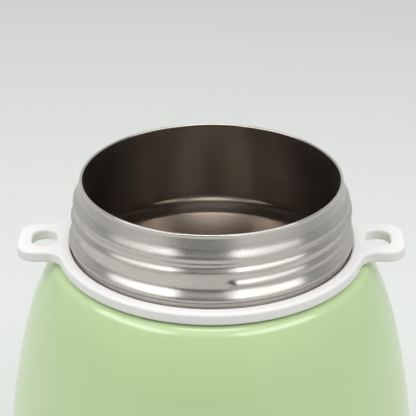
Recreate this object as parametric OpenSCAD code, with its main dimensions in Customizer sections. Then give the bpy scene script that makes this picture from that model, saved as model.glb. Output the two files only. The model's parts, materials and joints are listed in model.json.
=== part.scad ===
// Wide-mouth vacuum food jar, shown open: steel liner, painted shell, threaded
// steel neck and a white collar with two strap eyelets that turns round the neck.
// The jar stands on the plane z = 0 with its axis on Z. The eyelets lie along X.

/* [Mouth and neck] */
// Inside diameter of the mouth, where the lid's plug goes in
mouth_d = 74; // [64:0.5:90]
// Depth of the straight part of the liner's neck
mouth_depth = 24; // [14:0.5:28]
// Height of the steel neck above the shoulder shelf
neck_h = 23.9; // [22:0.1:34]
// Outside radius at the foot of the neck, measured out from the mouth's wall
neck_step = 3.95; // [3.4:0.05:6]
// Height of the retaining bead that the collar snaps under
bead_h = 0.6; // [0.4:0.05:0.9]
// Rise of the lid thread in one turn
thread_lead = 3.8; // [3.4:0.1:4.4]
// Height of the lid thread's ridge
thread_h = 0.9; // [0.5:0.05:1.2]
// Length of the lid thread in turns
thread_turns = 1.5; // [1:0.05:1.6]

/* [Shell] */
// Height of the shoulder shelf above the table
shelf_z = 122.1; // [120:0.5:170]
// How far the belly stands out past the foot of the neck
reach = 21.95; // [21.9:0.05:40]
// Radius of the long curve of the side
side_r = 245; // [180:5:300]
// Radius of the shoulder's curve
shoulder_r = 80; // [60:1:90]
// Radius of the knuckle between shelf and shoulder
knuckle_r = 5; // [3:0.5:6]
// Radius of the curve under the belly
lower_r = 60; // [50:1:80]
// Height of the belly's lowest full-width ring
belly_z = 36; // [32:0.5:40]

/* [Walls and vacuum] */
// Sheet thickness of the painted shell
shell_t = 0.6; // [0.4:0.05:1]
// Sheet thickness of the threaded neck
neck_t = 0.45; // [0.3:0.05:0.6]
// Sheet thickness of the liner
liner_t = 0.4; // [0.3:0.05:0.6]
// Vacuum space between liner and shell
vacuum = 3.2; // [2.5:0.1:6]
// Thickness of the copper foil round the liner
foil_t = 0.15; // [0.1:0.05:0.3]

/* [Base] */
// Height of the shell's lowest edge above the table
foot_z = 1.6; // [1.2:0.1:3]
// Height of the closing plate's upper face
plate_z = 9; // [8:0.5:12]
// Free height between closing plate and liner, which holds the getter
floor_space = 4.6; // [4:0.1:9]
// Radius of the corner between the liner's wall and its floor
floor_r = 16; // [10:1:20]
// Radius of the raised middle of the liner's floor
step_r = 27; // [15:1:30]
// Thickness of the soft ring that the jar stands on
pad_h = 2; // [1.5:0.1:3]
// Outside diameter of the soft ring
pad_d = 86; // [70:1:88]
// Width of the soft ring
pad_w = 9; // [5:0.5:14]

/* [Getter and seal] */
// Diameter of the getter pellet
getter_d = 11; // [8:0.5:14]
// Height of the getter pellet
getter_h = 1.6; // [1:0.1:2.2]
// Distance of the getter from the axis
getter_x = 26; // [20:1:32]
// Diameter of the evacuation hole
port_d = 3; // [2:0.1:5]
// Diameter of the dimple that holds the seal
dimple_d = 12; // [9:0.5:16]

/* [Collar] */
// Running clearance between collar and neck, on the radius
collar_gap = 0.3; // [0.2:0.05:0.45]
// Width of the collar's ring
collar_w = 3.65; // [3:0.05:6]
// Thickness of the collar
collar_h = 3.5; // [2.5:0.1:5]
// Play of the collar between the shoulder shelf and the neck's foot bead
collar_rest = 0.3; // [0.1:0.05:0.6]
// How far an eyelet stands out past the ring
ear_out = 11.6; // [11:0.1:18]
// Width of an eyelet's tab
ear_w = 18.6; // [15:0.1:26]
// Radius of the tab's outer corners
ear_r = 5.4; // [2:0.1:7]
// Radius of the fillet between tab and ring
ear_fillet = 5; // [2:0.5:8]
// Slot width of the eyelet, from the neck outwards
eye_w = 7.2; // [5:0.1:9]
// Slot length of the eyelet, round the neck
eye_l = 9.9; // [9:0.1:12]
// Wall between the slot and the tab's outer edge
eye_wall = 4.1; // [3:0.1:6]

/* [Hidden] */
$fn = 96;

// Spacing of the points down the neck, and pieces in each arc
step = 0.4;
arc_n = 10;

mouth_r = mouth_d / 2;
neck_r = mouth_r + neck_step;
lip_z = shelf_z + neck_h;
lip_r = mouth_r + liner_t + neck_t;
belly_r = neck_r + reach;

side_a = 14.6;
shelf_w = reach - side_r * (1 - cos(side_a));
function flat_left(a) = shelf_w - shoulder_r * (cos(side_a) - cos(a)) - knuckle_r * cos(a);
knuckle_a = 30;

// Centres of the arcs that make the shell's outline, from the shelf down
knuckle_c = [neck_r + flat_left(knuckle_a), shelf_z - knuckle_r];
shoulder_c = knuckle_c - (shoulder_r - knuckle_r) * [cos(knuckle_a), sin(knuckle_a)];
side_c = shoulder_c + (shoulder_r - side_r) * [cos(side_a), sin(side_a)];
lower_c = [belly_r - lower_r, belly_z];

plate_t = 0.6;
dimple_h = 1;
clip_t = 0.3;
cover_t = 0.5;
cover_rim = 3.4;
cover_z = pad_h;
pad_edge = 0.8;
floor_z = plate_z + floor_space + liner_t;
liner_off = shell_t + vacuum;
foil_gap = 0.1;
foil_hole_r = 8;
step_h = 0.8;
step_run = 3;
weld_z = floor_z + floor_r - liner_t;
skirt_gap = 0.05;

// The collar rests just above the shelf, and the retaining bead stands over it
collar_z = shelf_z + collar_rest;
bead_over = 2;
bead_rise = 3.1;
bead_fall = 1.2;
bead_crest = neck_h - collar_rest - collar_h - bead_over;
bead_top = bead_crest - bead_rise;
bead_end = bead_crest + bead_fall;
land_in = 1.15;

// Upper bead, at its own depth under the lip
upper_crest = 6.4;
upper_h = 0.6;
upper_rise = 2.8;
upper_fall = 1.1;

function arc(c, r, a0, a1) =
    [for (i = [0:arc_n]) let (a = a0 + (a1 - a0) * i / arc_n) c + r * [cos(a), sin(a)]];
function flip(p) = [for (i = [len(p) - 1:-1:0]) p[i]];
function ease(t) = 0.5 - 0.5 * cos(180 * min(1, max(0, t)));
function hump(d, up, down) = d > 0 ? ease(1 - d / up) : ease(1 + d / down);

// Shell outline moved inwards by off, from the shoulder's top to the height z_end
function low_angle(off, z_end) = asin((belly_z - z_end) / (lower_r - off));
function skin(off, a_top, z_end) = concat(
    arc(shoulder_c, shoulder_r - off, a_top, side_a),
    arc(side_c, side_r - off, side_a, 0),
    arc(lower_c, lower_r - off, 0, -low_angle(off, z_end)));

// Radius of the neck's outer face at the depth d under the lip
function neck_at(d) =
    let (land = neck_r - land_in)
    let (rise = lip_r + (land - lip_r) * min(1, max(0, d - 1) / 7))
    let (foot = rise + land_in * ease((d - bead_top) / bead_rise))
    foot + upper_h * hump(upper_crest - d, upper_rise, upper_fall)
         + bead_h * hump(bead_crest - d, bead_rise, bead_fall);

function neck_face(off) = concat(
    [for (d = [0:step:bead_end - step / 4]) [neck_at(d) - off, lip_z - d]],
    [[neck_r - off, lip_z - bead_end], [neck_r - off, shelf_z - shell_t]]);

// Liner outline, moved inwards by off, from the lip to the axis
flare_end = 36;
flare_pull = 4;
function cubic(a, b, c, d, t) =
    a * pow(1 - t, 3) + 3 * b * t * pow(1 - t, 2) + 3 * c * pow(t, 2) * (1 - t) + d * pow(t, 3);
function liner_wall(off, top) =
    let (o = liner_off + off)
    let (a0 = asin((lip_z - flare_end - shoulder_c[1]) / (shoulder_r - o)))
    let (p0 = [mouth_r + liner_t - off, lip_z - mouth_depth])
    let (p3 = shoulder_c + (shoulder_r - o) * [cos(a0), sin(a0)])
    let (tang = [-sin(a0), cos(a0)])
    concat(
        top,
        [for (i = [0:12]) cubic(p0, p0 - [0, flare_pull], p3 + flare_pull * tang, p3, i / 12)],
        arc(shoulder_c, shoulder_r - o, a0, side_a),
        arc(side_c, side_r - o, side_a, 0),
        arc(lower_c, lower_r - o, 0, -corner_angle(off)));
function corner_angle(off) =
    asin((belly_z - weld_z) / (lower_r - liner_off - off));
function liner_floor(off) =
    let (r = lower_r - liner_off - off)
    let (rc = floor_r - off)
    let (fz = floor_z - liner_t + off)
    let (b = asin((belly_z - fz - rc) / (r - rc)))
    concat(
        arc(lower_c, r, -corner_angle(off), -b),
        arc(lower_c + (r - rc) * [cos(b), -sin(b)], rc, -b, -90),
        [[step_r + step_run, fz], [step_r, fz + step_h], [0, fz + step_h]]);

function liner_wall_low(off) = let (p = liner_wall(off, [])) [for (i = [13:len(p) - 1]) p[i]];
function liner_floor_ring(off) = let (p = liner_floor(off)) [for (i = [0:len(p) - 2]) p[i]];

module turn(points) {
    rotate_extrude($fn = 180)
        polygon(points);
}

module liner_body() {
    outer = liner_wall(0, [[mouth_r + liner_t, lip_z]]);
    inner = liner_wall(liner_t, [[mouth_r, lip_z]]);
    color("silver") turn(concat(outer, flip(inner)));
}

module liner_bottom() {
    color("silver") turn(concat(liner_floor(0), flip(liner_floor(liner_t))));
}

module copper_foil() {
    near = -foil_gap;
    far = -foil_gap - foil_t;
    under = floor_z - liner_t + step_h;
    color("darkorange") turn(concat(
        liner_wall_low(far), liner_floor_ring(far), [[foil_hole_r, under + far], [foil_hole_r, under + near]],
        flip(liner_floor_ring(near)), flip(liner_wall_low(near))));
}

// Ridge of the lid thread, swept along its helix and sunk at both ends
thread_low = 14.1;
thread_z = lip_z - thread_low;
thread_start = -83;
thread_steps = 60;
thread_sunk = 0.05;
// Points across the ridge: share of its height, and height above its crest line
thread_profile = [[0, 1.7], [0.45, 1.1], [0.9, 0.4], [1, 0], [0.85, -0.35], [0, -0.8]];
function ridge_height(u) = ease(u / 0.012) * ease((1 - u) / 0.1);
function ridge_ring(i) =
    let (u = i / thread_steps)
    let (a = thread_start + 360 * thread_turns * u)
    let (z = thread_z + thread_lead * thread_turns * u)
    let (d = lip_z - z)
    let (root = neck_at(d) - neck_t / 2)
    let (top = neck_at(d) - thread_sunk + thread_h * ridge_height(u))
    [for (p = thread_profile)
        let (r = root + (top - root) * p[0]) [r * cos(a), r * sin(a), z + p[1]]];
module thread_ridge() {
    rings = [for (i = [0:thread_steps]) ridge_ring(i)];
    m = len(rings[0]);
    last = thread_steps * m;
    sides = [for (i = [0:thread_steps - 1]) for (j = [0:m - 1])
        let (k = (j + 1) % m) for (f = [[i * m + j, (i + 1) * m + j, i * m + k],
            [i * m + k, (i + 1) * m + j, (i + 1) * m + k]]) f];
    start_cap = [for (j = [1:m - 2]) [0, j, j + 1]];
    end_cap = [for (j = [1:m - 2]) [last, last + j + 1, last + j]];
    polyhedron([for (ring = rings) for (p = ring) p], concat(sides, start_cap, end_cap));
}

module threaded_neck() {
    color("lightgray") {
        turn(concat(neck_face(0), flip(neck_face(neck_t))));
        thread_ridge();
    }
}

module outer_shell() {
    knuckle = arc(knuckle_c, knuckle_r, 90, knuckle_a);
    knuckle_in = arc(knuckle_c, knuckle_r - shell_t, 90, knuckle_a);
    outer = concat([[neck_r, shelf_z]], knuckle, skin(0, knuckle_a, foot_z));
    inner = concat([[neck_r, shelf_z - shell_t]], knuckle_in, skin(shell_t, knuckle_a, foot_z));
    color([0.76, 0.84, 0.65]) turn(concat(outer, flip(inner)));
}

// Radius of the shell's inner face, moved inwards by off, at a height near the foot
function foot_r(z, off) =
    let (r = lower_r - shell_t - off)
    lower_c[0] + r * cos(asin((belly_z - z) / r));
function foot_face(off, z0, z1) =
    [for (i = [0:6]) let (z = z0 + (z1 - z0) * i / 6) [foot_r(z, off), z]];

module closing_plate() {
    skirt_z = foot_z + plate_t;
    dimple = dimple_d / 2;
    crest = plate_z + dimple_h;
    top = concat([[port_d / 2, crest], [dimple - 1.5, crest], [dimple + 1, plate_z]],
        flip(foot_face(skirt_gap, skirt_z, plate_z)));
    under = concat([[port_d / 2, crest - plate_t], [dimple - 1.5, crest - plate_t],
        [dimple + 1, plate_z - plate_t]], flip(foot_face(skirt_gap + plate_t, skirt_z, plate_z - plate_t)));
    color("lightslategray") turn(concat(top, flip(under)));
}

module getter() {
    color("dimgray") translate([getter_x, 0, plate_z + clip_t]) cylinder(d = getter_d, h = getter_h);
}

module getter_clip() {
    finger_w = 3;
    finger_h = getter_h + 2.3 * clip_t;
    hook = 1;
    color("gainsboro") translate([getter_x, 0, plate_z]) {
        cylinder(d = getter_d + 4, h = clip_t);
        for (a = [45:90:315])
            rotate([0, 0, a]) {
                translate([getter_d / 2, -finger_w / 2, 0]) cube([clip_t, finger_w, finger_h]);
                translate([getter_d / 2 - hook, -finger_w / 2, getter_h + clip_t])
                    cube([hook + clip_t, finger_w, clip_t]);
            }
    }
}

module seal_bead() {
    under = plate_z + dimple_h - plate_t;
    color("saddlebrown") {
        translate([0, 0, under]) cylinder(d = port_d, h = plate_t);
        translate([0, 0, under - dimple_h]) cylinder(d = dimple_d - 5, h = dimple_h);
    }
}

module base_cover() {
    rim_z = foot_z + cover_rim;
    clear = plate_t + 2 * skirt_gap;
    rim = foot_face(clear, cover_z, rim_z);
    rim_in = foot_face(clear + cover_t, cover_z + cover_t, rim_z);
    color("gainsboro") turn(concat(
        [[0, cover_z]], rim, flip(rim_in), [[0, cover_z + cover_t]]));
}

module base_pad() {
    r = pad_d / 2;
    color("whitesmoke") turn(
        [[r - pad_w, 0], [r - pad_edge, 0], [r, pad_edge], [r, pad_h], [r - pad_w, pad_h]]);
}

// Outline of one eyelet tab, with the fillets that run into the ring
module ear_outline(ring_r) {
    tip = ring_r + ear_out;
    half = ear_w / 2;
    fx = sqrt(pow(ring_r + ear_fillet, 2) - pow(half + ear_fillet, 2));
    fy = half + ear_fillet;
    touch = ring_r / (ring_r + ear_fillet) * [fx, fy];
    root = ring_r - collar_w / 2;
    translate([root, -half]) square([tip - ear_r - root, ear_w]);
    translate([root, -half + ear_r]) square([tip - root, ear_w - 2 * ear_r]);
    for (side = [0, 1]) mirror([0, side]) {
        translate([tip - ear_r, half - ear_r]) circle(r = ear_r);
        difference() {
            polygon([[root, -1], [fx + 1, -1], [fx + 1, fy], [fx, fy], touch]);
            translate([fx, fy]) circle(r = ear_fillet);
        }
    }
}

module eye_slot(ring_r) {
    mid = ring_r + ear_out - eye_wall - eye_w / 2;
    for (s = [-1, 1])
        translate([mid, s * (eye_l - eye_w) / 2]) circle(d = eye_w);
    translate([mid - eye_w / 2, -(eye_l - eye_w) / 2]) square([eye_w, eye_l - eye_w]);
}

module strap_collar() {
    inner_r = neck_r + collar_gap;
    ring_r = inner_r + collar_w;
    color("white") translate([0, 0, collar_z]) linear_extrude(collar_h) difference() {
        union() {
            circle(r = ring_r, $fn = 180);
            for (a = [0, 180]) rotate(a) ear_outline(ring_r);
        }
        circle(r = inner_r, $fn = 180);
        for (a = [0, 180]) rotate(a) eye_slot(ring_r);
    }
}

liner_body();
liner_bottom();
copper_foil();
threaded_neck();
outer_shell();
closing_plate();
getter();
getter_clip();
seal_bead();
base_cover();
base_pad();
strap_collar();
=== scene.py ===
"""Open wide-mouth vacuum food jar: steel neck with a rolled lid thread, green shell, white strap collar."""
import json
import math

import bpy
import numpy as np
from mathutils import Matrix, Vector


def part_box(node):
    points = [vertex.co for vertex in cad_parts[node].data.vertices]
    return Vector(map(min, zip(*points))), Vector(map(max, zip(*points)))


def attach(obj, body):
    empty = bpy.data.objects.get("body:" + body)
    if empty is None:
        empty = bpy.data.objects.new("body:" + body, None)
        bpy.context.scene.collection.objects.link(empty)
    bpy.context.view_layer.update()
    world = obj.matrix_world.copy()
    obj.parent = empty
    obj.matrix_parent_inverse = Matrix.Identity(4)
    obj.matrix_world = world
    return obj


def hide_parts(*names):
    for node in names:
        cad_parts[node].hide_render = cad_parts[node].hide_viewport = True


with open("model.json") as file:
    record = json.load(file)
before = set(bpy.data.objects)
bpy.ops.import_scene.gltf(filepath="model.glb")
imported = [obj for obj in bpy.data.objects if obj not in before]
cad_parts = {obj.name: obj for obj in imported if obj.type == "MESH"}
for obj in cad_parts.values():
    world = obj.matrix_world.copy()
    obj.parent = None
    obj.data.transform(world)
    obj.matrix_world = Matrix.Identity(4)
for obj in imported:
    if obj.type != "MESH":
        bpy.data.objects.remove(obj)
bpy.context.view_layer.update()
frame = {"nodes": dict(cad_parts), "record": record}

MM = 0.001

# ---------------------------------------------------------------- sizes, in millimetres
record = frame["record"]
mounts = {m["name"]: m for m in record["mounts"]}
NECK_LOW, NECK_HIGH = (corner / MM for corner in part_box("threaded_neck"))
COLLAR_LOW, COLLAR_HIGH = (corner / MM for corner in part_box("strap_collar"))
SHELL_LOW, SHELL_HIGH = (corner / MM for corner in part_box("outer_shell"))
LINER_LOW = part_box("liner_bottom")[0] / MM
PAD_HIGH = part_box("base_pad")[1] / MM
COVER_LOW, COVER_HIGH = (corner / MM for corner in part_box("base_cover"))

MOUTH_R = mounts["mouth_bore"]["dims"]["r_mm"]
MOUTH_DEPTH = mounts["mouth_bore"]["dims"]["length_mm"]
LIP_Z = NECK_HIGH.z
FLARE_END, FLARE_PULL = 36.0, 4.0
LINER_T = 0.4
NECK_T = 0.45
SHELL_T = 0.6
VACUUM = 3.2
LIP_R = MOUTH_R + LINER_T + NECK_T
NECK_R = 40.95
BELLY_R = SHELL_HIGH.x
BELLY_Z = 36.0
SHELF_Z = SHELL_HIGH.z
SIDE_R, SHOULDER_R, KNUCKLE_R, LOWER_R = 245.0, 80.0, 5.0, 60.0
SIDE_ANGLE, KNUCKLE_ANGLE = 14.6, 30.0
LINER_CORNER_R = 16.0
FLOOR_STEP_R, FLOOR_STEP_H = 27.0, 0.8


# ---------------------------------------------------------------- small helpers
def linear(hex_colour, alpha=1.0):
    """An sRGB hex colour as the linear RGBA that the shaders take."""
    parts = [int(hex_colour[i:i + 2], 16) / 255 for i in (1, 3, 5)]
    return (*[c / 12.92 if c <= 0.04045 else ((c + 0.055) / 1.055) ** 2.4 for c in parts], alpha)


def add(tree, kind, inputs=None, **settings):
    """Adds one node, with its settings and its inputs: a socket is linked and a value is set."""
    node = tree.nodes.new(kind)
    for name, value in settings.items():
        setattr(node, name, value)
    for key, value in (inputs or {}).items():
        if isinstance(value, bpy.types.NodeSocket):
            tree.links.new(value, node.inputs[key])
        else:
            node.inputs[key].default_value = value
    return node


def new_object(name, vertices, faces):
    """A mesh object at the origin, from points in millimetres."""
    mesh = bpy.data.meshes.new(name)
    mesh.from_pydata((np.asarray(vertices, float) * MM).tolist(), [], faces)
    mesh.validate()
    mesh.update()
    piece = bpy.data.objects.new(name, mesh)
    bpy.context.scene.collection.objects.link(piece)
    return piece


def finish_piece(piece, body, slot, material, *nodes):
    """Smooth shading, one material, and the piece's place in the frame."""
    piece.data.materials.clear()
    piece.data.materials.append(material)
    piece.data.shade_smooth()
    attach(piece, body)
    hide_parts(*nodes)
    return piece


def arc(centre, radius, start, end, count):
    """Points on an arc in the (r, z) plane, angles in degrees from the +r direction."""
    angles = np.radians(np.linspace(start, end, count))
    return [(centre[0] + radius * math.cos(a), centre[1] + radius * math.sin(a)) for a in angles]


def lathe(name, outline, turns=256):
    """Turns a closed (r, z) outline round Z. Points on the axis close to a single vertex each."""
    ring = 2 * math.pi * np.arange(turns) / turns
    vertices, rows = [], []
    for r, z in outline:
        if r < 1e-6:
            rows.append([len(vertices)] * turns)
            vertices.append((0, 0, z))
        else:
            rows.append(list(range(len(vertices), len(vertices) + turns)))
            vertices += [(r * math.sin(a), -r * math.cos(a), z) for a in ring]
    faces = []
    for i, row in enumerate(rows):
        below = rows[(i + 1) % len(rows)]
        for j in range(turns):
            k = (j + 1) % turns
            corners = [row[j], row[k], below[k], below[j]]
            corners = [c for n, c in enumerate(corners) if c != corners[n - 1]]
            if len(corners) > 2:
                faces.append(corners[::-1])
    return new_object(name, vertices, faces)


def cubic(a, b, c, d, count):
    """Points on a cubic Bezier curve."""
    return [tuple(np.array(a) * (1 - t) ** 3 + 3 * np.array(b) * t * (1 - t) ** 2
                  + 3 * np.array(c) * t * t * (1 - t) + np.array(d) * t ** 3)
            for t in np.linspace(0, 1, count)]


# ---------------------------------------------------------------- the shell's outline
SHELF_FLAT = (BELLY_R - NECK_R - SIDE_R * (1 - math.cos(math.radians(SIDE_ANGLE)))
              - SHOULDER_R * (math.cos(math.radians(SIDE_ANGLE)) - math.cos(math.radians(KNUCKLE_ANGLE)))
              - KNUCKLE_R * math.cos(math.radians(KNUCKLE_ANGLE)))


def towards(angle):
    return np.array([math.cos(math.radians(angle)), math.sin(math.radians(angle))])


KNUCKLE_C = np.array([NECK_R + SHELF_FLAT, SHELF_Z - KNUCKLE_R])
SHOULDER_C = KNUCKLE_C - (SHOULDER_R - KNUCKLE_R) * towards(KNUCKLE_ANGLE)
SIDE_C = SHOULDER_C + (SHOULDER_R - SIDE_R) * towards(SIDE_ANGLE)
LOWER_C = np.array([BELLY_R - LOWER_R, BELLY_Z])


def skin(inset, top_angle, low_angle, fine=1):
    """The shell's outline moved inwards, from the shoulder down to the foot."""
    return (arc(SHOULDER_C, SHOULDER_R - inset, top_angle, SIDE_ANGLE, 16 * fine)[:-1]
            + arc(SIDE_C, SIDE_R - inset, SIDE_ANGLE, 0, 16 * fine)
            + arc(LOWER_C, LOWER_R - inset, 0, -low_angle, 16 * fine))


# ---------------------------------------------------------------- materials
def new_material(name):
    """An empty material with its Principled shader, ready for nodes."""
    material = bpy.data.materials.new(name)
    material.use_nodes = True
    tree = material.node_tree
    tree.nodes.clear()
    shader = tree.nodes.new("ShaderNodeBsdfPrincipled")
    out = tree.nodes.new("ShaderNodeOutputMaterial")
    tree.links.new(shader.outputs["BSDF"], out.inputs["Surface"])
    return material, tree, shader


def around_axis(tree, along_mm, across_mm):
    """A point for a pattern that runs round Z with no seam: slow along its lines and quick across them."""
    place = add(tree, "ShaderNodeTexCoord")
    split = add(tree, "ShaderNodeSeparateXYZ", {0: place.outputs["Object"]})
    flat = add(tree, "ShaderNodeCombineXYZ", {0: split.outputs["X"], 1: split.outputs["Y"], 2: 0.0})
    radius = add(tree, "ShaderNodeVectorMath", {0: flat.outputs[0]}, operation="LENGTH")
    across = add(tree, "ShaderNodeMath", {0: split.outputs["Z"], 1: radius.outputs["Value"]},
                 operation="ADD")
    row = add(tree, "ShaderNodeMath", {0: across.outputs[0], 1: 1 / (across_mm * MM)},
              operation="MULTIPLY")
    up = add(tree, "ShaderNodeCombineXYZ", {2: row.outputs[0]})
    slow = add(tree, "ShaderNodeVectorMath", {0: flat.outputs[0], "Scale": 1 / (along_mm * MM)},
               operation="SCALE")
    return add(tree, "ShaderNodeVectorMath", {0: slow.outputs[0], 1: up.outputs[0]}, operation="ADD")


def turned_steel(name, colour, rough_low, rough_high, line_mm, line_height, anisotropy):
    """Steel brushed or turned round its axis: fine level lines, long soft highlights across them."""
    material, tree, shader = new_material(name)
    shader.inputs["Metallic"].default_value = 1.0
    shader.inputs["Anisotropic"].default_value = anisotropy
    shader.inputs["Anisotropic Rotation"].default_value = 0.25
    tangent = add(tree, "ShaderNodeTangent", direction_type="RADIAL", axis="Z")
    tree.links.new(tangent.outputs[0], shader.inputs["Tangent"])
    lines = add(tree, "ShaderNodeTexNoise", {"Vector": around_axis(tree, 45, line_mm).outputs[0],
                                             "Scale": 1.0, "Detail": 3.0, "Roughness": 0.6})
    blotch = add(tree, "ShaderNodeTexNoise", {"Vector": around_axis(tree, 26, 22).outputs[0],
                                              "Scale": 1.0, "Detail": 2.0})
    tint = add(tree, "ShaderNodeMixRGB", {0: blotch.outputs["Fac"], 1: linear(colour[0]),
                                          2: linear(colour[1])})
    tree.links.new(tint.outputs[0], shader.inputs["Base Color"])
    mixed = add(tree, "ShaderNodeMath", {0: lines.outputs["Fac"], 1: blotch.outputs["Fac"]},
                operation="MULTIPLY")
    rough = add(tree, "ShaderNodeMapRange", {"Value": mixed.outputs[0], "From Min": 0.1, "From Max": 0.45,
                                             "To Min": rough_low, "To Max": rough_high})
    tree.links.new(rough.outputs[0], shader.inputs["Roughness"])
    bump = add(tree, "ShaderNodeBump", {"Height": lines.outputs["Fac"], "Strength": 1.0,
                                        "Distance": line_height * MM})
    tree.links.new(bump.outputs[0], shader.inputs["Normal"])
    return material


def baked_paint():
    """Gloss baked paint on steel: an even pastel green, a faint orange peel and a clear, sharp gloss."""
    material, tree, shader = new_material("baked_gloss_green_paint")
    place = add(tree, "ShaderNodeTexCoord")
    cloud = add(tree, "ShaderNodeTexNoise", {"Vector": place.outputs["Object"], "Scale": 30.0,
                                             "Detail": 2.0})
    tint = add(tree, "ShaderNodeMixRGB", {0: cloud.outputs["Fac"], 1: linear("#bad39b"),
                                          2: linear("#bed5a1")})
    tree.links.new(tint.outputs[0], shader.inputs["Base Color"])
    shader.inputs["Roughness"].default_value = 0.34
    shader.inputs["IOR"].default_value = 1.5
    shader.inputs["Coat Weight"].default_value = 0.7
    shader.inputs["Coat Roughness"].default_value = 0.05
    peel = add(tree, "ShaderNodeTexNoise", {"Vector": place.outputs["Object"], "Scale": 1 / (1.1 * MM),
                                            "Detail": 1.0})
    bump = add(tree, "ShaderNodeBump", {"Height": peel.outputs["Fac"], "Strength": 1.0,
                                        "Distance": 0.004 * MM})
    tree.links.new(bump.outputs[0], shader.inputs["Normal"])
    return material


def moulded_plastic(name, colours, roughness, grain_mm, grain_height, scatter):
    """A moulded or pressed finish: even colour, a fine matt grain and a little light under the skin."""
    material, tree, shader = new_material(name)
    place = add(tree, "ShaderNodeTexCoord")
    cloud = add(tree, "ShaderNodeTexNoise", {"Vector": place.outputs["Object"], "Scale": 60.0,
                                             "Detail": 2.0})
    tint = add(tree, "ShaderNodeMixRGB", {0: cloud.outputs["Fac"], 1: linear(colours[0]),
                                          2: linear(colours[1])})
    tree.links.new(tint.outputs[0], shader.inputs["Base Color"])
    shader.inputs["IOR"].default_value = 1.49
    shader.inputs["Subsurface Weight"].default_value = scatter
    shader.inputs["Subsurface Radius"].default_value = (1.0, 0.9, 0.8)
    shader.inputs["Subsurface Scale"].default_value = 0.8 * MM
    grain = add(tree, "ShaderNodeTexNoise", {"Vector": place.outputs["Object"], "Scale": 1 / (grain_mm * MM),
                                             "Detail": 2.0})
    rough = add(tree, "ShaderNodeMapRange", {"Value": grain.outputs["Fac"], "To Min": roughness - 0.06,
                                             "To Max": roughness + 0.06})
    tree.links.new(rough.outputs[0], shader.inputs["Roughness"])
    bump = add(tree, "ShaderNodeBump", {"Height": grain.outputs["Fac"], "Strength": 1.0,
                                        "Distance": grain_height * MM})
    tree.links.new(bump.outputs[0], shader.inputs["Normal"])
    return material


# Brushed neck: highlights drawn out upwards into tall columns, with faint level lines.
NECK_STEEL = turned_steel("brushed_stainless_steel", ("#d4cfca", "#c6c1bb"), 0.24, 0.36, 0.25, 0.0015, 0.95)
# Satin inside: a warmer steel with soft reflections of the floor; its darker base colour is painted shade for
# the shaded inside of the jar.
LINER_STEEL_PAINTED_SHADE = turned_steel("satin_steel_painted_shade", ("#c4bcb4", "#b8b1a9"), 0.19, 0.27, 0.4, 0.0007, 0.6)
# Spun base: rings of light round the centre.
BASE_STEEL = turned_steel("spun_stainless_steel", ("#c6c3bf", "#bab6b1"), 0.22, 0.36, 0.3, 0.008, 0.6)
# Cold-rolled sheet: dull, even grey.
PLAIN_STEEL = turned_steel("cold_rolled_stainless_steel", ("#b9b6b2", "#a9a6a2"), 0.3, 0.45, 0.6, 0.004, 0.2)
# Rolled foil: warm, uneven copper.
COPPER = turned_steel("rolled_copper_foil", ("#d08a5f", "#bf7a50"), 0.2, 0.4, 1.5, 0.02, 0.1)
GREEN_PAINT = baked_paint()
# Moulded collar: soft white that glows a little at its edges.
WHITE_PLASTIC = moulded_plastic("moulded_white_polypropylene", ("#eae8e7", "#e5e3e2"), 0.42, 0.5, 0.004, 0.25)
# Base ring: matt grey, with no clear reflection.
SILICONE = moulded_plastic("moulded_grey_silicone", ("#c9cbc6", "#bfc2bc"), 0.6, 0.4, 0.012, 0.1)
# Getter: dark and dry, with a coarse grain.
GETTER_POWDER = moulded_plastic("pressed_getter_powder", ("#3b3c3f", "#2c2d30"), 0.8, 0.25, 0.03, 0.0)
# Seal: dark brown bead with a wet shine.
SOLDER_GLASS = moulded_plastic("melted_solder_glass", ("#3d2418", "#2d1a11"), 0.15, 1.5, 0.02, 0.0)


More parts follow.
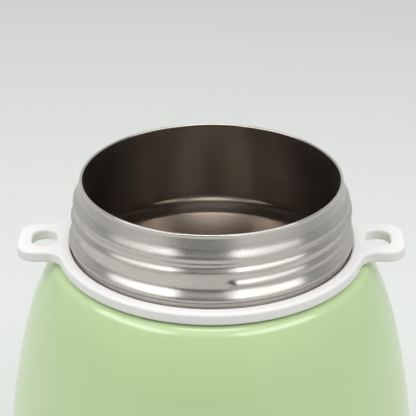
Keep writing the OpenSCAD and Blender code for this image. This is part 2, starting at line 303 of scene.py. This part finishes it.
# ---------------------------------------------------------------- the threaded neck, by rule
def neck_rule():
    """A node tree that makes the neck sleeve from its sizes: flare, two level beads and the thread's ridge."""
    tree = bpy.data.node_groups.new("threaded_neck_rule", "GeometryNodeTree")
    face = tree.interface
    sizes = {"Lip Radius": LIP_R, "Foot Radius": NECK_R, "Foot Step": 1.15, "Sheet": NECK_T,
             "Length": LIP_Z - NECK_LOW.z, "Lip Rounding": 0.36,
             "Upper Bead Depth": 6.4, "Upper Bead Height": 0.6,
             "Upper Bead Rise": 2.8, "Upper Bead Fall": 1.1,
             "Lower Bead Depth": 18.1, "Lower Bead Height": 0.6,
             "Lower Bead Rise": 3.1, "Lower Bead Fall": 1.2,
             "Thread Depth": 14.1, "Thread Start": 7.0, "Thread Lead": 3.8, "Thread Turns": 1.5,
             "Thread Height": 0.9, "Thread Rise": 1.9, "Thread Fall": 0.9}
    for name in sizes:
        face.new_socket(name, in_out="INPUT", socket_type="NodeSocketFloat")
    face.new_socket("Material", in_out="INPUT", socket_type="NodeSocketMaterial")
    face.new_socket("Geometry", in_out="OUTPUT", socket_type="NodeSocketGeometry")
    given = add(tree, "NodeGroupInput").outputs

    def calc(kind, a, b=0.0, c=0.0):
        return add(tree, "ShaderNodeMath", {0: a, 1: b, 2: c}, operation=kind).outputs[0]

    def ease(value, low, high, start, end):
        """A smooth step from start to end as value goes from low to high."""
        node = add(tree, "ShaderNodeMapRange", {"Value": value, "From Min": low, "From Max": high,
                                                "To Min": start, "To Max": end},
                   interpolation_type="SMOOTHSTEP")
        return node.outputs[0]

    def hump(depth, crest, height, rise, fall):
        """A ridge that rises over its upper side and falls over its under side."""
        above = ease(depth, calc("SUBTRACT", crest, rise), crest, 0.0, height)
        below = ease(depth, crest, calc("ADD", crest, fall), height, 0.0)
        return calc("MINIMUM", above, below)

    def radius_at(depth, turn):
        """The outer radius at a depth under the lip and at an angle, in degrees from the front."""
        land = calc("SUBTRACT", given["Foot Radius"], given["Foot Step"])
        flare = add(tree, "ShaderNodeMapRange", {"Value": depth, "From Min": 1.0, "From Max": 8.0,
                                                 "To Min": given["Lip Radius"], "To Max": land}).outputs[0]
        start = calc("SUBTRACT", given["Lower Bead Depth"], given["Lower Bead Rise"])
        foot = ease(depth, start, given["Lower Bead Depth"], 0.0, given["Foot Step"])
        total = calc("ADD", flare, foot)
        for bead in ("Upper Bead", "Lower Bead"):
            total = calc("ADD", total, hump(depth, given[bead + " Depth"], given[bead + " Height"],
                                            given[bead + " Rise"], given[bead + " Fall"]))
        for lap in (0, 1):
            since = calc("SUBTRACT", turn, given["Thread Start"])
            gone = calc("DIVIDE", calc("ADD", since, 360.0 * lap), 360.0)
            crest = calc("SUBTRACT", given["Thread Depth"], calc("MULTIPLY", gone, given["Thread Lead"]))
            run_in = ease(gone, -0.006, 0.006, 0.0, 1.0)
            run_out = ease(calc("SUBTRACT", given["Thread Turns"], gone), 0.0, 0.12, 0.0, 1.0)
            height = calc("MULTIPLY", given["Thread Height"], calc("MULTIPLY", run_in, run_out))
            ridge = hump(depth, crest, height, given["Thread Rise"], given["Thread Fall"])
            total = calc("ADD", total, ridge)
        return total

    def wall(inner):
        """One face of the sleeve: a grid of turns by depth, bent round Z."""
        grid = add(tree, "GeometryNodeMeshGrid", {"Size X": 1.0, "Size Y": 1.0, "Vertices X": 385,
                                                  "Vertices Y": 40 if inner else 170})
        position = add(tree, "GeometryNodeInputPosition").outputs[0]
        place = add(tree, "ShaderNodeSeparateXYZ", {0: position}).outputs
        turn = calc("MULTIPLY", place["X"], 360.0)
        share = calc("ADD", place["Y"], 0.5)
        depth = calc("MULTIPLY", calc("POWER", share, 1.5), given["Length"])
        radius = radius_at(depth, turn)
        tucked = calc("SUBTRACT", radius, given["Sheet"])
        if inner:
            radius = tucked
        else:
            into = calc("SUBTRACT", given["Lip Rounding"], depth)
            drop = calc("SUBTRACT", calc("MULTIPLY", given["Lip Rounding"], given["Lip Rounding"]),
                        calc("MULTIPLY", into, into))
            rounded = calc("SUBTRACT", given["Lip Rounding"], calc("SQRT", calc("MAXIMUM", drop, 0.0)))
            near_lip = calc("LESS_THAN", depth, given["Lip Rounding"])
            radius = calc("SUBTRACT", radius, calc("MULTIPLY", rounded, near_lip))
            end = calc("MAXIMUM", calc("LESS_THAN", share, 0.0001), calc("GREATER_THAN", share, 0.9999))
            radius = calc("ADD", calc("MULTIPLY", radius, calc("SUBTRACT", 1.0, end)),
                          calc("MULTIPLY", tucked, end))
        angle = calc("RADIANS", turn)
        x = calc("MULTIPLY", radius, calc("SINE", angle))
        y = calc("MULTIPLY", radius, calc("MULTIPLY", calc("COSINE", angle), -1.0))
        z = calc("SUBTRACT", LIP_Z, depth)
        spot = add(tree, "ShaderNodeCombineXYZ", {0: x, 1: y, 2: z})
        metres = add(tree, "ShaderNodeVectorMath", {0: spot.outputs[0], "Scale": MM}, operation="SCALE")
        bent = add(tree, "GeometryNodeSetPosition", {"Geometry": grid.outputs["Mesh"],
                                                     "Position": metres.outputs[0]})
        if inner:
            return bent.outputs[0]
        return add(tree, "GeometryNodeFlipFaces", {"Mesh": bent.outputs[0]}).outputs[0]

    both = add(tree, "GeometryNodeJoinGeometry")
    for skin_face in (wall(True), wall(False)):
        tree.links.new(skin_face, both.inputs[0])
    shut = add(tree, "GeometryNodeMergeByDistance", {"Geometry": both.outputs[0], "Distance": 1e-7})
    real = add(tree, "GeometryNodeRealizeInstances", {"Geometry": shut.outputs[0]})
    painted = add(tree, "GeometryNodeSetMaterial", {"Geometry": real.outputs[0],
                                                    "Material": given["Material"]})
    add(tree, "NodeGroupOutput", {0: painted.outputs[0]})
    return tree, sizes


def grown(name, tree, values):
    """Runs a node tree on an empty mesh and keeps the result as a plain mesh object."""
    seed = bpy.data.objects.new(name + "_seed", bpy.data.meshes.new(name + "_seed"))
    bpy.context.scene.collection.objects.link(seed)
    modifier = seed.modifiers.new("rule", "NODES")
    modifier.node_group = tree
    sockets = {item.name: item.identifier for item in tree.interface.items_tree if item.in_out == "INPUT"}
    for key, value in values.items():
        modifier[sockets[key]] = value
    seed.data.update()
    bpy.context.view_layer.update()
    graph = bpy.context.evaluated_depsgraph_get()
    mesh = bpy.data.meshes.new_from_object(seed.evaluated_get(graph), depsgraph=graph)
    bpy.data.objects.remove(seed)
    mesh.name = name
    piece = bpy.data.objects.new(name, mesh)
    bpy.context.scene.collection.objects.link(piece)
    return piece


def make_neck():
    tree, sizes = neck_rule()
    piece = grown("threaded_neck_sleeve", tree, {**sizes, "Material": NECK_STEEL})
    return finish_piece(piece, "jar", "brushed_steel", NECK_STEEL, "threaded_neck")


# ---------------------------------------------------------------- liner and shell
def liner_face(inset, lip_round):
    """The liner's outline moved inwards, from the lip to the axis."""
    off = SHELL_T + VACUUM + inset
    join_z = LIP_Z - FLARE_END
    top_angle = math.degrees(math.asin((join_z - SHOULDER_C[1]) / (SHOULDER_R - off)))
    top_r = MOUTH_R + LINER_T - inset
    start = np.array([top_r, LIP_Z - MOUTH_DEPTH])
    end = SHOULDER_C + (SHOULDER_R - off) * towards(top_angle)
    along = np.array([-math.sin(math.radians(top_angle)), math.cos(math.radians(top_angle))])
    corner_r = LINER_CORNER_R - inset
    floor_z = LINER_LOW.z + inset
    low_angle = math.degrees(math.asin((BELLY_Z - floor_z - corner_r) / (LOWER_R - off - corner_r)))
    corner = LOWER_C + (LOWER_R - off - corner_r) * towards(-low_angle)
    lip = [(top_r, LIP_Z)]
    if lip_round:
        lip = arc((top_r + lip_round, LIP_Z - lip_round), lip_round, 90, 180, 7)
    step, floor_top = FLOOR_STEP_R, floor_z + FLOOR_STEP_H
    rise = cubic((step + 3.4, floor_z), (step + 2, floor_z), (step + 1.4, floor_top), (step, floor_top), 10)
    return (lip + [(top_r, LIP_Z - d) for d in np.linspace(2, MOUTH_DEPTH - 2, 8)]
            + cubic(start, start - (0, FLARE_PULL), end + FLARE_PULL * along, end, 24)
            + skin(off, top_angle, low_angle)[1:]
            + arc(corner, corner_r, -low_angle, -90, 24)[1:]
            + [(step + 5, floor_z), *rise]
            + [(r, floor_top) for r in (24, 20, 16, 12, 8, 4, 0)])


def make_liner():
    inner = liner_face(LINER_T, LINER_T * 0.98)
    outer = liner_face(0.0, 0.0)
    piece = lathe("liner_vessel", inner + outer[::-1], 256)
    return finish_piece(piece, "jar", "satin_steel", LINER_STEEL_PAINTED_SHADE, "liner_body", "liner_bottom")


def make_shell():
    foot = SHELL_LOW.z
    edge = SHELL_T / 2
    rolled = foot + edge
    angle = math.degrees(math.asin((BELLY_Z - rolled) / LOWER_R))
    angle_in = math.degrees(math.asin((BELLY_Z - rolled) / (LOWER_R - SHELL_T)))
    outer = ([(NECK_R, SHELF_Z)] + arc(KNUCKLE_C, KNUCKLE_R, 90, KNUCKLE_ANGLE, 20)
             + skin(0, KNUCKLE_ANGLE, angle, 2)[1:])
    inner = ([(NECK_R, SHELF_Z - SHELL_T)] + arc(KNUCKLE_C, KNUCKLE_R - SHELL_T, 90, KNUCKLE_ANGLE, 8)
             + skin(SHELL_T, KNUCKLE_ANGLE, angle_in)[1:])
    middle = (np.array(outer[-1]) + np.array(inner[-1])) / 2
    roll = arc(middle, edge, -8, -172, 9)
    piece = lathe("painted_shell", outer + roll + inner[::-1], 256)
    return finish_piece(piece, "jar", "green_paint", GREEN_PAINT, "outer_shell")


# ---------------------------------------------------------------- underside
def foot_radius(z, inset):
    """The shell's inner face near the foot, moved inwards."""
    r = LOWER_R - SHELL_T - inset
    return LOWER_C[0] + math.sqrt(r * r - (BELLY_Z - z) ** 2)


COVER_T, COVER_CLEAR = 0.5, 0.65
GROOVE_CENTRES = (31.0, 24.0, 17.0)
GROOVE_HALF, GROOVE_DEPTH = 0.8, 0.22


def make_base_cover():
    """A spun disc: a rolled rim that grips the shell's foot, a shallow step and three level grooves."""
    low, high, thick = COVER_LOW.z, COVER_HIGH.z, COVER_T
    clear = COVER_CLEAR
    rim = [(foot_radius(z, clear), z) for z in np.linspace(high - 0.3, low + 1.2, 5)]
    edge_r = rim[-1][0]
    corner = cubic(rim[-1], (edge_r - 0.3, low + 0.4), (edge_r - 0.9, low), (edge_r - 2.2, low), 8)
    under = rim + corner[1:]
    inner_r = under[-1][0] - 0.6
    for centre in GROOVE_CENTRES:
        groove = [(centre + GROOVE_HALF * math.cos(a), low + GROOVE_DEPTH * math.sin(a))
                  for a in np.linspace(0.15, math.pi - 0.15, 7)]
        under += [(centre + 1.0, low), *groove, (centre - 1.0, low)]
    under.append((0, low))
    rim_in = [(foot_radius(z, clear + thick), z) for z in np.linspace(low + 1.6, high - 0.3, 5)]
    top = [(0, low + thick), (inner_r - 0.4, low + thick), (rim_in[0][0] - 0.6, low + thick + 0.4)] + rim_in
    lip = [((rim[0][0] + rim_in[-1][0]) / 2, high)]
    piece = lathe("spun_base_cover", under + top + lip, 256)
    return finish_piece(piece, "jar", "base_steel", BASE_STEEL, "base_cover")


PAD_W, PAD_EDGE = 9.0, 0.7


def make_base_pad():
    """A soft ring with rounded edges and two shallow grip grooves on its underside."""
    outer, height, width, edge = PAD_HIGH.x, PAD_HIGH.z, PAD_W, PAD_EDGE
    inner = outer - width
    outline = arc((outer - edge, edge), edge, 0, -90, 8)
    for centre in (outer - 3.0, outer - 6.0):
        outline += [(centre + 0.7 * math.cos(a), 0.45 * math.sin(a)) for a in np.linspace(0, math.pi, 9)]
    outline += arc((inner + edge, edge), edge, -90, -180, 8)
    outline += [(inner, height), (outer, height)]
    piece = lathe("soft_base_ring", outline, 192)
    return finish_piece(piece, "jar", "silicone", SILICONE, "base_pad")


# ---------------------------------------------------------------- collar
COLLAR_GAP = 0.3
COLLAR_W = 3.65
COLLAR_EDGE = 0.85
EAR_W, EAR_R, EAR_FILLET = 18.6, 5.4, 5.0
EYE_W, EYE_L, EYE_WALL = 7.2, 9.9, 4.1
RING_IN = NECK_R + COLLAR_GAP
RING_OUT = RING_IN + COLLAR_W
EAR_TIP = COLLAR_HIGH.x


def ear_edge():
    """The collar's outline over its right half, from -Y to +Y: ring, fillet, tab corner, mirrored."""
    half = EAR_W / 2
    fy = half + EAR_FILLET
    fx = math.sqrt((RING_OUT + EAR_FILLET) ** 2 - fy ** 2)
    meet = math.degrees(math.atan2(fy, fx))
    ring = arc((0, 0), RING_OUT, -89.2, -meet, 44)
    fillet = arc((fx, -fy), EAR_FILLET, 180 - meet, 90, 16)
    corner = arc((EAR_TIP - EAR_R, -half + EAR_R), EAR_R, -90, 0, 18)
    lower = ring + fillet[1:] + corner
    return lower + [(x, -y) for x, y in lower[::-1]]


def eye_edge(side):
    mid = EAR_TIP - EYE_WALL - EYE_W / 2
    run = (EYE_L - EYE_W) / 2
    top = arc((mid, run), EYE_W / 2, 0, 180, 24)
    return [(side * x, y) for x, y in top + [(x, -y) for x, y in top[::-1]]]


def make_collar():
    """The flat moulding, all edges rounded: one filled outline with a ring hole and two strap slots."""
    right = ear_edge()
    outlines = [right + [(-x, -y) for x, y in right],
                arc((0, 0), RING_IN, 0, 360 - 360 / 220, 220), eye_edge(1), eye_edge(-1)]
    edge = COLLAR_EDGE
    thick = COLLAR_HIGH.z - COLLAR_LOW.z
    curve = bpy.data.curves.new("collar_outline", "CURVE")
    curve.dimensions = "2D"
    curve.fill_mode = "BOTH"
    curve.extrude = (thick / 2 - edge) * MM
    curve.bevel_depth = edge * MM
    curve.bevel_resolution = 6
    curve.offset = -edge * MM
    for outline in outlines:
        spline = curve.splines.new("POLY")
        spline.points.add(len(outline) - 1)
        for point, (x, y) in zip(spline.points, outline):
            point.co = (x * MM, y * MM, 0, 1)
        spline.use_cyclic_u = True
    holder = bpy.data.objects.new("collar_outline", curve)
    bpy.context.scene.collection.objects.link(holder)
    bpy.context.view_layer.update()
    graph = bpy.context.evaluated_depsgraph_get()
    mesh = bpy.data.meshes.new_from_object(holder.evaluated_get(graph), depsgraph=graph)
    bpy.data.objects.remove(holder)
    mesh.name = "strap_collar_moulding"
    for vertex in mesh.vertices:
        vertex.co.z += (COLLAR_LOW.z + thick / 2) * MM
    piece = bpy.data.objects.new("strap_collar_moulding", mesh)
    bpy.context.scene.collection.objects.link(piece)
    weld = piece.modifiers.new("weld", "WELD")
    weld.merge_threshold = 1e-6
    shade = piece.modifiers.new("flats", "WEIGHTED_NORMAL")
    shade.weight = 80
    return finish_piece(piece, "collar", "white_plastic", WHITE_PLASTIC, "strap_collar")


# ---------------------------------------------------------------- hidden pieces keep their CAD shape
def dress(node, material):
    mesh_slots = frame["nodes"][node].data.materials
    mesh_slots.clear()
    mesh_slots.append(material)


make_neck()
make_liner()
make_shell()
make_base_cover()
make_base_pad()
make_collar()
for node, finish in (("copper_foil", COPPER), ("closing_plate", PLAIN_STEEL), ("getter", GETTER_POWDER),
                     ("getter_clip", PLAIN_STEEL), ("seal_bead", SOLDER_GLASS)):
    dress(node, finish)


# ---------------------------------------------------------------- floor, light and camera
def make_floor():
    floor = new_object("floor", [(-6000, -6000, 0), (6000, -6000, 0), (6000, 6000, 0), (-6000, 6000, 0)],
                       [(0, 1, 2, 3)])
    material, tree, shader = new_material("pale_matt_card")
    shader.inputs["Base Color"].default_value = linear("#dfe1de")
    shader.inputs["Roughness"].default_value = 0.7
    floor.data.materials.append(material)


def softbox(name, azimuth, elevation, distance, width, height, power):
    """A rectangular light that faces the neck. Azimuth 0 is in front, at -Y, and 90 is at +X."""
    light = bpy.data.lights.new(name, "AREA")
    light.shape = "RECTANGLE"
    light.size, light.size_y = width * MM, height * MM
    light.energy = power
    holder = bpy.data.objects.new(name, light)
    a, e = math.radians(azimuth), math.radians(elevation)
    away = Vector((math.sin(a) * math.cos(e), -math.cos(a) * math.cos(e), math.sin(e)))
    holder.location = Vector((0, 0, LIP_Z * MM)) + away * distance * MM
    holder.rotation_mode = "QUATERNION"
    holder.rotation_quaternion = away.to_track_quat("Z", "Y")
    bpy.context.scene.collection.objects.link(holder)


def make_light():
    """Two wide softboxes at the sides, one overhead, pale walls, and a dark gap where the camera stands."""
    softbox("left_softbox", -65, 46, 900, 860, 320, 3.8)
    softbox("right_softbox", 52, 46, 900, 860, 320, 3.8)
    softbox("overhead_softbox", 0, 88, 1000, 440, 440, 3.0)
    world = bpy.data.worlds.new("studio")
    bpy.context.scene.world = world
    world.use_nodes = True
    tree = world.node_tree
    tree.nodes.clear()
    back = add(tree, "ShaderNodeBackground")
    add(tree, "ShaderNodeOutputWorld", {"Surface": back.outputs[0]})
    place = add(tree, "ShaderNodeTexCoord")
    split = add(tree, "ShaderNodeSeparateXYZ", {0: place.outputs["Generated"]})
    level = add(tree, "ShaderNodeCombineXYZ", {0: split.outputs["X"], 1: split.outputs["Y"], 2: 0.0})
    heading = add(tree, "ShaderNodeVectorMath", {0: level.outputs[0]}, operation="NORMALIZE")

    def turned_to(azimuth):
        """How far a direction's heading is from an azimuth: 1 on it and -1 opposite."""
        a = math.radians(azimuth)
        node = add(tree, "ShaderNodeVectorMath", {0: heading.outputs[0], 1: (math.sin(a), -math.cos(a), 0)},
                   operation="DOT_PRODUCT")
        return node.outputs["Value"]

    walls = add(tree, "ShaderNodeMapRange", {"Value": turned_to(0), "From Min": -0.9, "From Max": 0.1,
                                             "To Min": 0.86, "To Max": 0.4}, interpolation_type="SMOOTHSTEP")
    gap = add(tree, "ShaderNodeMapRange", {"Value": turned_to(-8), "From Min": 0.78, "From Max": 0.94,
                                           "To Min": 0.0, "To Max": 0.95}, interpolation_type="SMOOTHSTEP")
    low = add(tree, "ShaderNodeMapRange", {"Value": split.outputs["Z"], "From Min": 0.45, "From Max": 0.75,
                                           "To Min": 1.0, "To Max": 0.0}, interpolation_type="SMOOTHSTEP")
    dark = add(tree, "ShaderNodeMath", {0: gap.outputs[0], 1: low.outputs[0]}, operation="MULTIPLY")
    left = add(tree, "ShaderNodeMath", {0: 1.0, 1: dark.outputs[0]}, operation="SUBTRACT")
    strength = add(tree, "ShaderNodeMath", {0: walls.outputs[0], 1: left.outputs[0]}, operation="MULTIPLY")
    tree.links.new(strength.outputs[0], back.inputs["Strength"])
    back.inputs["Color"].default_value = linear("#eef0f0")
    # Light reaches the vessel's floor and comes back only after many reflections off its steel.
    bpy.context.scene.cycles.glossy_bounces = 12


def make_camera():
    """The camera looks down at 26.4 degrees from in front, a little left of the axis."""
    camera = bpy.data.cameras.new("camera")
    camera.sensor_width = 36
    camera.lens = 129.8
    camera.clip_start, camera.clip_end = 0.01, 100
    holder = bpy.data.objects.new("camera", camera)
    holder.location = (-0.97 * MM, -390.07 * MM, (LIP_Z + 182.97) * MM)
    holder.rotation_euler = (math.radians(90 - 26.385), 0, 0)
    bpy.context.scene.collection.objects.link(holder)
    bpy.context.scene.camera = holder


make_floor()
make_light()
make_camera()
bpy.context.scene.view_settings.view_transform = "Standard"
